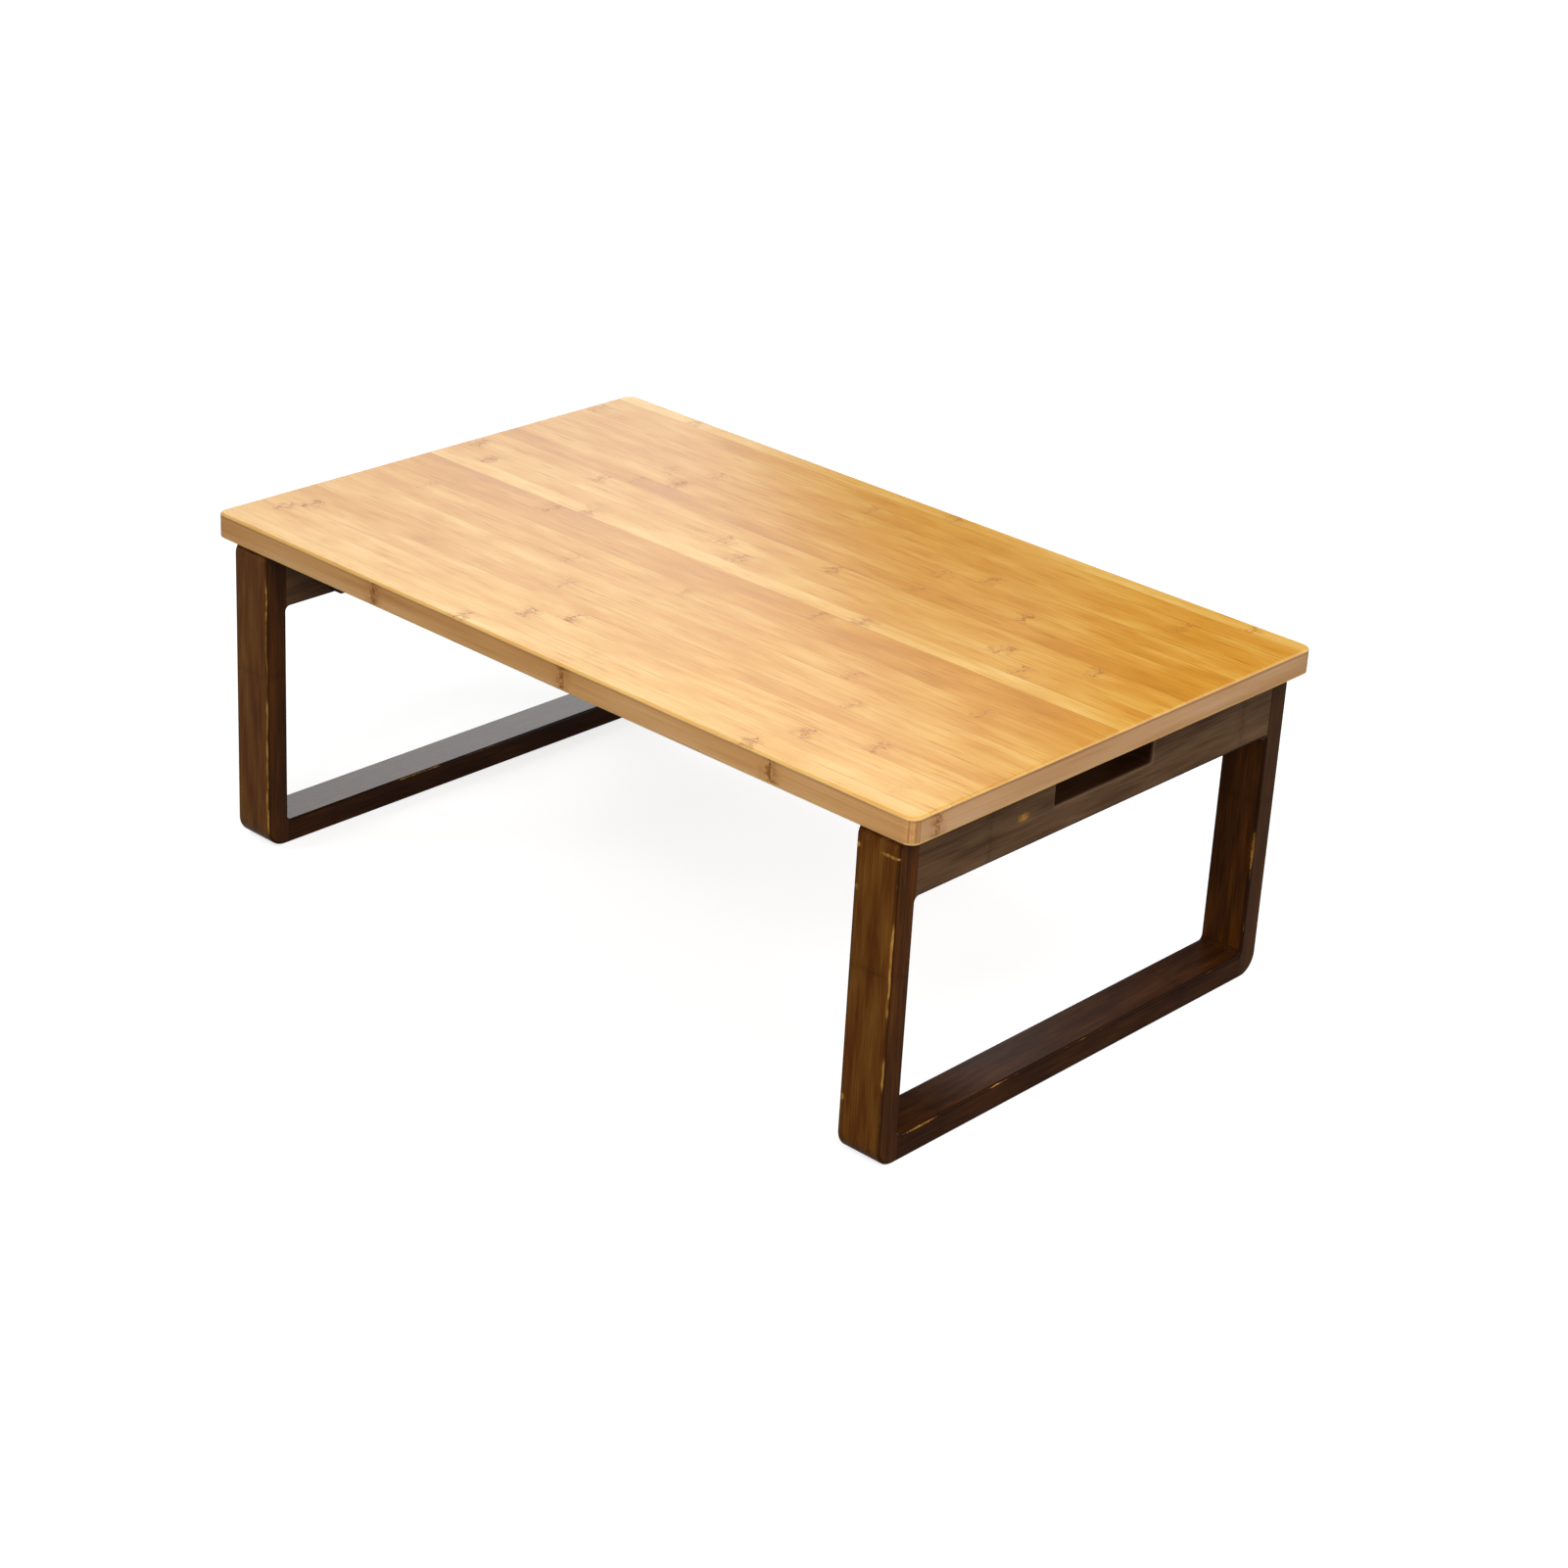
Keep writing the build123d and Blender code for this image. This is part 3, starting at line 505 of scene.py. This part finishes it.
    # Painted shade inside the hand-hold, deeper in from its faces
    within = add(tree, "ShaderNodeMath", {0: from_grip, 1: from_face}, operation="SUBTRACT")
    within = add(tree, "ShaderNodeMath", {0: within, 1: 0.0003}, operation="LESS_THAN")
    inboard = add(tree, "ShaderNodeMapRange", {"Value": from_face, "From Min": 0.0008, "From Max": 0.0030,
                                               "To Max": 0.8})
    grip_shade = add(tree, "ShaderNodeMath", {0: axes["Y"]}, operation="ABSOLUTE")
    grip_shade = add(tree, "ShaderNodeMath", {0: grip_shade, 1: grip_half_width + 0.002}, operation="LESS_THAN")
    above = add(tree, "ShaderNodeMath", {0: axes["Z"], 1: leg_height - grip_depth - 0.002},
                operation="GREATER_THAN")
    for bound in (above, inboard, within):
        grip_shade = add(tree, "ShaderNodeMath", {0: grip_shade, 1: bound}, operation="MULTIPLY")
    edged = add(tree, "ShaderNodeMix", {"Factor": grip_shade, "A": edged, "B": "#240904"}, data_type="RGBA")

    # Worn through: a line along the arrises that widens and thins, and spots; the bottom rail's spot is a
    # painted highlight along its arris
    rubbing = stretched_noise(tree, place, axis, 55, 24, detail=1.0)
    rubbing = add(tree, "ShaderNodeMapRange", {"Value": rubbing, "From Min": 0.56, "From Max": 0.72,
                                               "To Max": 0.8})
    nibbled = stretched_noise(tree, place, axis, 7, 2, detail=2.0)
    reach = add(tree, "ShaderNodeMath", {0: nibbled, 1: 0.0012, 2: -0.0003}, operation="MULTIPLY_ADD")
    reach = add(tree, "ShaderNodeMath", {0: rubbing, 1: 0.0008, 2: reach}, operation="MULTIPLY_ADD")
    rubbed_and_highlit = add(tree, "ShaderNodeMath", {0: reach, 1: from_arris}, operation="SUBTRACT")
    rubbed_and_highlit = add(tree, "ShaderNodeMapRange", {"Value": rubbed_and_highlit, "From Min": -0.0001, "From Max": 0.0003,
                                              "To Max": 0.85})
    if is_post:
        # Hands have warmed the front post's arris and worn a wavy line beside it
        hands = front_post_wear(tree, axes)
        wave = add(tree, "ShaderNodeTexNoise", {"Vector": place, "Scale": 45.0, "Detail": 1.0})
        wave = add(tree, "ShaderNodeMath", {0: wave, 1: 0.0030, 2: -0.0004}, operation="MULTIPLY_ADD")
        beside = add(tree, "ShaderNodeMath", {0: from_face, 1: wave}, operation="SUBTRACT")
        beside = add(tree, "ShaderNodeMath", {0: beside}, operation="ABSOLUTE")
        warmed = add(tree, "ShaderNodeMapRange", {"Value": from_face, "From Max": 0.008, "To Min": 0.30,
                                                  "To Max": 0.0}, interpolation_type="SMOOTHSTEP")
        warmed = add(tree, "ShaderNodeMath", {0: warmed, 1: hands}, operation="MULTIPLY")
        edged = add(tree, "ShaderNodeMix", {"Factor": warmed, "A": edged, "B": "#8A5A1E"}, data_type="RGBA")
        width = add(tree, "ShaderNodeMath", {0: nibbled, 1: 0.0014}, operation="MULTIPLY")
        width = add(tree, "ShaderNodeMath", {0: width, 1: hands}, operation="MULTIPLY")
        line = add(tree, "ShaderNodeMath", {0: width, 1: beside}, operation="SUBTRACT")
        line = add(tree, "ShaderNodeMapRange", {"Value": line, "From Min": -0.0003, "From Max": 0.0003,
                                                "To Max": 0.9})
        line = add(tree, "ShaderNodeMath", {0: line, 1: hands}, operation="MULTIPLY")
        rubbed_and_highlit = add(tree, "ShaderNodeMath", {0: rubbed_and_highlit, 1: line}, operation="MAXIMUM")
    rubbed_and_highlit = add(tree, "ShaderNodeMath", {0: rubbed_and_highlit, 1: rubbed_and_highlit_spots(tree, place, spots_and_highlights)},
                 operation="MAXIMUM")
    # The gold of the bamboo, shown where the stain is rubbed through and as the bottom rail's painted
    # highlight
    gold = add(tree, "ShaderNodeValToRGB", {"Fac": nibbled}, points=[(0.35, "#8A5C22"), (0.65, "#C79347")])
    worn = add(tree, "ShaderNodeMix", {"Factor": rubbed_and_highlit, "A": edged, "B": gold}, data_type="RGBA")
    roughness = add(tree, "ShaderNodeMapRange", {"Value": fibres, "To Min": 0.14, "To Max": 0.24})
    finish_material(tree, bump=fibres, bump_depth=0.00006, Base_Color=worn, Roughness=roughness,
                    IOR=1.5, Specular_IOR_Level=gloss)
    return material


# ---------------------------------------------------------------- other finishes

def planed_beech():
    """Turned beech dowel, unfinished: pale pinkish wood with short darker flecks."""
    material, tree, place = new_material("planed_beech")
    flecks = stretched_noise(tree, place, "y", 6, 0.6, detail=2.0)
    wood = add(tree, "ShaderNodeValToRGB", {"Fac": flecks},
               points=[(0.35, "#B98B63"), (0.5, "#D3AB82"), (0.7, "#DFBD98")])
    finish_material(tree, bump=flecks, bump_depth=0.00005, Base_Color=wood, Roughness=0.6)
    return material


def black_powder_coat():
    """Pressed steel under black powder coat: near black, satin, with a faint orange-peel grain."""
    material, tree, place = new_material("black_powder_coat")
    # Real orange peel is about 0.6 mm from crest to crest, and dust lies in patches of 17 mm
    peel = add(tree, "ShaderNodeTexNoise", {"Vector": place, "Scale": 1600.0, "Detail": 1.0})
    dust = add(tree, "ShaderNodeTexNoise", {"Vector": place, "Scale": 60.0, "Detail": 3.0})
    coat = add(tree, "ShaderNodeValToRGB", {"Fac": dust}, points=[(0.35, "#121212"), (0.7, "#1F1E1D")])
    roughness = add(tree, "ShaderNodeMapRange", {"Value": dust, "To Min": 0.36, "To Max": 0.52})
    finish_material(tree, bump=peel, bump_depth=0.00004, Base_Color=coat, Roughness=roughness, IOR=1.5)
    return material


def phosphated_steel():
    """Headed steel rivet, phosphated and oiled: dark grey metal with a dull, slightly cloudy shine."""
    material, tree, place = new_material("phosphated_steel")
    # Crystals cloud the metal in patches of 2 mm
    clouds = add(tree, "ShaderNodeTexNoise", {"Vector": place, "Scale": 500.0, "Detail": 2.0})
    metal = add(tree, "ShaderNodeValToRGB", {"Fac": clouds}, points=[(0.35, "#3A3A3C"), (0.7, "#56565A")])
    roughness = add(tree, "ShaderNodeMapRange", {"Value": clouds, "To Min": 0.34, "To Max": 0.5})
    finish_material(tree, bump=clouds, bump_depth=0.00002, Base_Color=metal, Roughness=roughness,
                    Metallic=1.0)
    return material


def zinc_plated_steel():
    """Bright zinc-plated steel: silver grey with a faint straw tint and fine drawing marks."""
    material, tree, place = new_material("zinc_plated_steel")
    marks = stretched_noise(tree, place, "z", 4, 0.3, detail=2.0)
    metal = add(tree, "ShaderNodeValToRGB", {"Fac": marks}, points=[(0.35, "#B4B5B2"), (0.65, "#CFCFC9")])
    roughness = add(tree, "ShaderNodeMapRange", {"Value": marks, "To Min": 0.24, "To Max": 0.36})
    finish_material(tree, bump=marks, bump_depth=0.00001, Base_Color=metal, Roughness=roughness,
                    Metallic=1.0)
    return material


def moulded_nylon():
    """Natural nylon washer: milky white, dull, a little translucent."""
    material, tree, place = new_material("moulded_nylon")
    # Flow marks are about 3 mm apart
    flow = add(tree, "ShaderNodeTexNoise", {"Vector": place, "Scale": 300.0, "Detail": 2.0})
    milk = add(tree, "ShaderNodeValToRGB", {"Fac": flow}, points=[(0.3, "#D8D3C6"), (0.7, "#E6E2D8")])
    finish_material(tree, bump=flow, bump_depth=0.00002, Base_Color=milk, Roughness=0.5, IOR=1.53,
                    Subsurface_Weight=0.15, Subsurface_Scale=0.001)
    return material


strips = lacquered_bamboo_strips()
long_edge = lacquered_bamboo_edge("lacquered_bamboo_long_edge", "x", 0.026, 0.183, 0.30,
                                  ("#B98148", "#D69F62", "#E6BA86"))
end_edge = lacquered_bamboo_edge("lacquered_bamboo_end_edge", "y", -0.1805, 0.410, 0.42,
                                 ("#B48355", "#CB9C6D", "#D9B188"))

# Spots on the arrises where the stain is rubbed through, by their middles and half sizes; the bottom rail's
# is a painted highlight along its outer arris
POST_SPOTS = [
    ((0.3055, -leg_half_width, 0.2155), (0.0085, 0.003, 0.0012)),
    ((0.2795, -leg_half_width, 0.2145), (0.0016, 0.003, 0.0018)),
    ((0.2800, -leg_half_width, 0.1862), (0.0014, 0.003, 0.0022)),
    ((0.2800, -leg_half_width, 0.0405), (0.0014, 0.003, 0.0026)),
    ((leg_outside, 0.1796, 0.0980), (0.0020, 0.0008, 0.0150)),
    ((-0.2870, -leg_half_width, 0.0030), (0.0100, 0.003, 0.0012)),
]
TOP_RAIL_SPOTS = [((leg_outside, -0.0805, 0.2066), (0.003, 0.0060, 0.0030))]
BOTTOM_RAIL_HIGHLIGHT = [((leg_outside - 0.0003, -0.1560, 0.0176), (0.0006, 0.0160, 0.001))]

# Each kind of leg piece: the way its grain runs, its first knuckle and their spacing, how much darker it is
# painted as shade, its tones, and its rubbed spots and painted highlights
LEG_PIECES = (
    ("_post", "z", 0.134, 0.300, 0.0, WALNUT, POST_SPOTS),
    ("_top_rail", "y", 0.148, 0.260, -0.02, REFLECTION_GREYED_WALNUT, TOP_RAIL_SPOTS),
    ("_bottom_rail", "y", -0.137, 0.250, 0.10, SHADED_WALNUT, BOTTOM_RAIL_HIGHLIGHT),
)
# Less of the lacquer's gloss is left on the right leg
leg_finishes = [
    (side_name, ending, walnut_stained_bamboo(f"walnut_stained_bamboo_{side_name}{ending}", gloss, *look))
    for side_name, gloss in (("left", 0.118), ("right", 0.047)) for ending, *look in LEG_PIECES]
powder_coat = black_powder_coat()
zinc = zinc_plated_steel()

# Each finish goes to the nodes whose names start and end like this
FINISHES = (
    ("", "_edge_band", long_edge),
    ("", "_end_band", end_edge),
    ("", "_face", strips),
    ("", "top_core", strips),
    *leg_finishes,
    ("", "_dowels", planed_beech()),
    ("", "_channel", powder_coat),
    ("", "_stay", powder_coat),
    ("", "_rivets", phosphated_steel()),
    ("", "_washers", moulded_nylon()),
    ("", "_pins", zinc),
    ("", "_pin", zinc),
    ("", "_screws", zinc),
)
for name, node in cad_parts.items():
    finish = next(material for start, ending, material in FINISHES
                  if name.startswith(start) and name.endswith(ending))
    for holder in node.material_slots:
        holder.material = finish


# ---------------------------------------------------------------- screws

def wood_screw_tree():
    """Countersunk cross-recess wood screws at the points of the mesh, all turned the same way.

    A screw's head is flush at its point and its shank runs along +Z before it is turned.
    """
    tree = bpy.data.node_groups.new("cross_recess_wood_screws", "GeometryNodeTree")
    tree.interface.new_socket("Places", in_out="INPUT", socket_type="NodeSocketGeometry")
    for name, value in (("Head Diameter", 7.0 * MM), ("Head Height", 2.2 * MM), ("Shank Diameter", 2.6 * MM),
                        ("Thread Diameter", 3.5 * MM), ("Length", 14.0 * MM), ("Tip Radius", 0.3 * MM),
                        ("Recess Width", 3.6 * MM), ("Recess Depth", 1.5 * MM), ("Recess Slimness", 0.26),
                        ("Thread Turns", 8.0), ("Threaded Share", 0.92)):
        socket = tree.interface.new_socket(name, in_out="INPUT", socket_type="NodeSocketFloat")
        socket.default_value = value
    tree.interface.new_socket("Turn", in_out="INPUT", socket_type="NodeSocketVector")
    tree.interface.new_socket("Finish", in_out="INPUT", socket_type="NodeSocketMaterial")
    tree.interface.new_socket("Screws", in_out="OUTPUT", socket_type="NodeSocketGeometry")
    given = add(tree, "NodeGroupInput").outputs
    head_radius, shank_radius, thread_radius = (
        add(tree, "ShaderNodeMath", {0: given[name], 1: 0.5}, operation="MULTIPLY")
        for name in ("Head Diameter", "Shank Diameter", "Thread Diameter"))

    # Head, with a recess cut by two crossed blades
    head = add(tree, "GeometryNodeMeshCone", {"Vertices": 32, "Radius Top": shank_radius,
                                              "Radius Bottom": head_radius, "Depth": given["Head Height"]})
    recessed = add(tree, "GeometryNodeMeshBoolean", {0: head.outputs["Mesh"]}, operation="DIFFERENCE",
                   solver="EXACT")
    thickness = add(tree, "ShaderNodeMath", {0: given["Recess Width"], 1: given["Recess Slimness"]},
                    operation="MULTIPLY")
    size = add(tree, "ShaderNodeCombineXYZ", {"X": given["Recess Width"], "Y": thickness,
                                              "Z": given["Recess Depth"]})
    for quarter in (0.0, math.pi / 2):
        blade = add(tree, "GeometryNodeMeshCube", {"Size": size})
        blade = add(tree, "GeometryNodeTransform", {"Geometry": blade, "Rotation": (0.0, 0.0, quarter)})
        tree.links.new(blade.outputs["Geometry"], recessed.inputs["Mesh 2"])

    # Shank with a point, and a three-sided thread wound round most of it
    shank_length = add(tree, "ShaderNodeMath", {0: given["Length"], 1: given["Head Height"]},
                       operation="SUBTRACT")
    shank = add(tree, "GeometryNodeMeshCone", {"Vertices": 16, "Radius Top": given["Tip Radius"],
                                               "Radius Bottom": shank_radius, "Depth": shank_length})
    thread_length = add(tree, "ShaderNodeMath", {0: shank_length, 1: given["Threaded Share"]},
                        operation="MULTIPLY")
    spiral = add(tree, "GeometryNodeCurveSpiral", {
        "Resolution": 12, "Rotations": given["Thread Turns"], "Start Radius": shank_radius,
        "End Radius": given["Tip Radius"], "Height": thread_length})
    ridge_radius = add(tree, "ShaderNodeMath", {0: thread_radius, 1: shank_radius}, operation="SUBTRACT")
    ridge = add(tree, "GeometryNodeCurvePrimitiveCircle", {"Resolution": 3, "Radius": ridge_radius})
    thread = add(tree, "GeometryNodeCurveToMesh", {"Curve": spiral, "Profile Curve": ridge,
                                                   "Fill Caps": True})
    under_head = add(tree, "ShaderNodeCombineXYZ", {"Z": given["Head Height"]})
    shank, thread = (add(tree, "GeometryNodeTransform", {"Geometry": piece, "Translation": under_head})
                     for piece in (shank, thread))

    screw = add(tree, "GeometryNodeJoinGeometry")
    for piece in (recessed, shank, thread):
        tree.links.new(piece.outputs[0], screw.inputs[0])
    stood = add(tree, "GeometryNodeInstanceOnPoints", {"Points": given["Places"], "Instance": screw,
                                                       "Rotation": given["Turn"]})
    real = add(tree, "GeometryNodeRealizeInstances", {0: stood})
    finished = add(tree, "GeometryNodeSetMaterial", {"Geometry": real, "Material": given["Finish"]})
    add(tree, "NodeGroupOutput", {0: finished})
    return tree


def wood_screws(name, tree, places, body, replaced, **sizes):
    """One mesh of screws at these places, on one body, for the CAD's screws."""
    mesh = bpy.data.meshes.new(name)
    mesh.from_pydata(places, [], [])
    screws = bpy.data.objects.new(name, mesh)
    bpy.context.collection.objects.link(screws)
    modifier = screws.modifiers.new("screws", "NODES")
    modifier.node_group = tree
    sockets = {item.name: item.identifier for item in tree.interface.items_tree if item.in_out == "INPUT"}
    for socket, value in {"Finish": zinc, **sizes}.items():
        modifier[sockets[socket]] = value
    whole = bpy.data.meshes.new_from_object(screws.evaluated_get(bpy.context.evaluated_depsgraph_get()))
    screws.modifiers.remove(modifier)
    screws.data = whole
    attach(screws, body)
    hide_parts(*replaced)


# The base channels' screws point up into the top, four to a bracket, and the leg channels' screws point
# outboard into the top rails, two to a bracket
bracket_y = leg_half_width - post_thickness - bracket_post_distance
rail_inner_face = leg_outside - leg_depth
base_screws_inboard = (0.028, 0.052)  # of the rail
base_screw_spacing = 0.012
leg_screw_spacing = 0.010
screw_tree = wood_screw_tree()
wood_screws(
    "base_screws", screw_tree,
    [(end * (rail_inner_face - inboard), side * bracket_y + apart, leg_height - sheet_thickness)
     for end in (-1, 1) for side in (-1, 1) for inboard in base_screws_inboard
     for apart in (-base_screw_spacing / 2, base_screw_spacing / 2)],
    "tabletop", ("left_base_screws", "right_base_screws"), Length=0.014)
for side_name, end in (("left", -1), ("right", 1)):
    wood_screws(
        f"{side_name}_leg_channel_screws", screw_tree,
        [(end * (rail_inner_face - sheet_thickness), side * bracket_y + apart, leg_height - leg_screw_drop)
         for side in (-1, 1) for apart in (-leg_screw_spacing / 2, leg_screw_spacing / 2)],
        f"{side_name}_leg", (f"{side_name}_leg_screws",),
        Length=0.025, Turn=(0.0, end * math.pi / 2, 0.0))


# ---------------------------------------------------------------- floor, light and camera

def pale_floor():
    """Plain pale floor under a soft shadow: white to the camera, dimmer to the object and in reflections."""
    mesh = bpy.data.meshes.new("floor")
    reach = 9.0
    mesh.from_pydata([(-reach, -reach, 0), (reach, -reach, 0), (reach, reach, 0), (-reach, reach, 0)], [],
                     [(0, 1, 2, 3)])
    floor = bpy.data.objects.new("floor", mesh)
    bpy.context.collection.objects.link(floor)
    material = bpy.data.materials.new("pale_floor_paper")
    material.use_nodes = True
    tree = material.node_tree
    tree.nodes.clear()
    ray = add(tree, "ShaderNodeLightPath").outputs
    colour = add(tree, "ShaderNodeMix", {"Factor": ray["Is Camera Ray"], "A": "#868686", "B": "#BCBCBC"},
                 data_type="RGBA")
    paper = add(tree, "ShaderNodeBsdfDiffuse", {"Color": colour})
    mirrored = add(tree, "ShaderNodeMath", {0: ray["Is Glossy Ray"], 1: ray["Is Transmission Ray"]},
                   operation="MAXIMUM")
    mirrored = add(tree, "ShaderNodeMath", {0: mirrored, 1: 0.12}, operation="MULTIPLY")
    lift = add(tree, "ShaderNodeMix", {"Factor": ray["Is Camera Ray"], "A": mirrored, "B": 0.74})
    glow = add(tree, "ShaderNodeEmission", {"Color": "#FFFFFF", "Strength": lift})
    both = add(tree, "ShaderNodeAddShader", {0: paper, 1: glow})
    add(tree, "ShaderNodeOutputMaterial", {"Surface": both})
    mesh.materials.append(material)


def soft_light(name, place, aim, size, watts, roll=0.0):
    """A square white soft box, turned about its own axis by roll in degrees."""
    lamp = bpy.data.lights.new(name, "AREA")
    lamp.size = size
    lamp.energy = watts
    holder = bpy.data.objects.new(name, lamp)
    bpy.context.collection.objects.link(holder)
    holder.location = place
    turn = (Vector(aim) - Vector(place)).to_track_quat("-Z", "Y") @ Quaternion((0, 0, 1), math.radians(roll))
    holder.rotation_euler = turn.to_euler()


def studio_world(light_level, room_level):
    """White to the camera. Reflections see white up to just above the horizon, and a dimmer room over it.

    Light level is how brightly the world itself lights the table.
    """
    world = bpy.data.worlds.new("studio")
    bpy.context.scene.world = world
    world.use_nodes = True
    tree = world.node_tree
    tree.nodes.clear()
    ray = add(tree, "ShaderNodeLightPath").outputs
    up = add(tree, "ShaderNodeSeparateXYZ", {"Vector": add(tree, "ShaderNodeTexCoord").outputs["Generated"]})
    mirrored = add(tree, "ShaderNodeMapRange", {"Value": up.outputs["Z"], "From Min": 0.12, "From Max": 0.24,
                                                "To Min": 1.0, "To Max": room_level})
    level = add(tree, "ShaderNodeMix", {"Factor": ray["Is Glossy Ray"], "A": light_level, "B": mirrored})
    seen = add(tree, "ShaderNodeMath", {0: ray["Is Camera Ray"], 1: ray["Is Transmission Ray"]},
               operation="MAXIMUM")
    level = add(tree, "ShaderNodeMix", {"Factor": seen, "A": level, "B": 1.0})
    sky = add(tree, "ShaderNodeBackground", {"Color": "#FFFFFF", "Strength": level})
    add(tree, "ShaderNodeOutputWorld", {"Surface": sky})


pale_floor()
studio_world(light_level=0.22, room_level=0.12)
soft_light("overhead", (0.9, 0.1, 2.2), (0.1, 0.0, 0.2), 1.4, 19.0)
# The three boxes at the back left make the sheen on the top
soft_light("back_left", (-3.69, 2.53, 2.48), (0.0, 0.0, 0.25), 2.6, 58.0, roll=25.0)
soft_light("back_left_core", (-3.19, 2.88, 2.38), (0.0, 0.0, 0.25), 1.28, 8.0, roll=25.0)
soft_light("back_left_edge", (-2.72, 3.64, 2.46), (0.0, 0.0, 0.25), 0.56, 1.7, roll=25.0)
soft_light("front_left", (-1.48, -1.65, 1.78), (0.0, -0.2, 0.2), 0.6, 8.0)
soft_light("front_right", (0.8, -1.7, 1.5), (0.1, 0.0, 0.15), 1.0, 18.0)
soft_light("right", (1.95, -0.85, 1.25), (0.2, 0.0, 0.15), 0.9, 14.5)
soft_light("back_right", (1.35, 1.72, 1.65), (0.2, 0.0, 0.15), 1.1, 8.0)

lens = bpy.data.cameras.new("camera")
lens.lens = 78.44
lens.sensor_width = 36.0
lens.shift_x = -0.0303
lens.shift_y = -0.0350
lens.clip_start = 0.05
camera = bpy.data.objects.new("camera", lens)
bpy.context.collection.objects.link(camera)
camera.location = (1.46774, -1.59335, 1.11613)
camera.rotation_euler = Euler([math.radians(turn) for turn in (65.6583, -3.2914, 42.5318)])
bpy.context.scene.camera = camera
bpy.context.scene.view_settings.view_transform = "Standard"
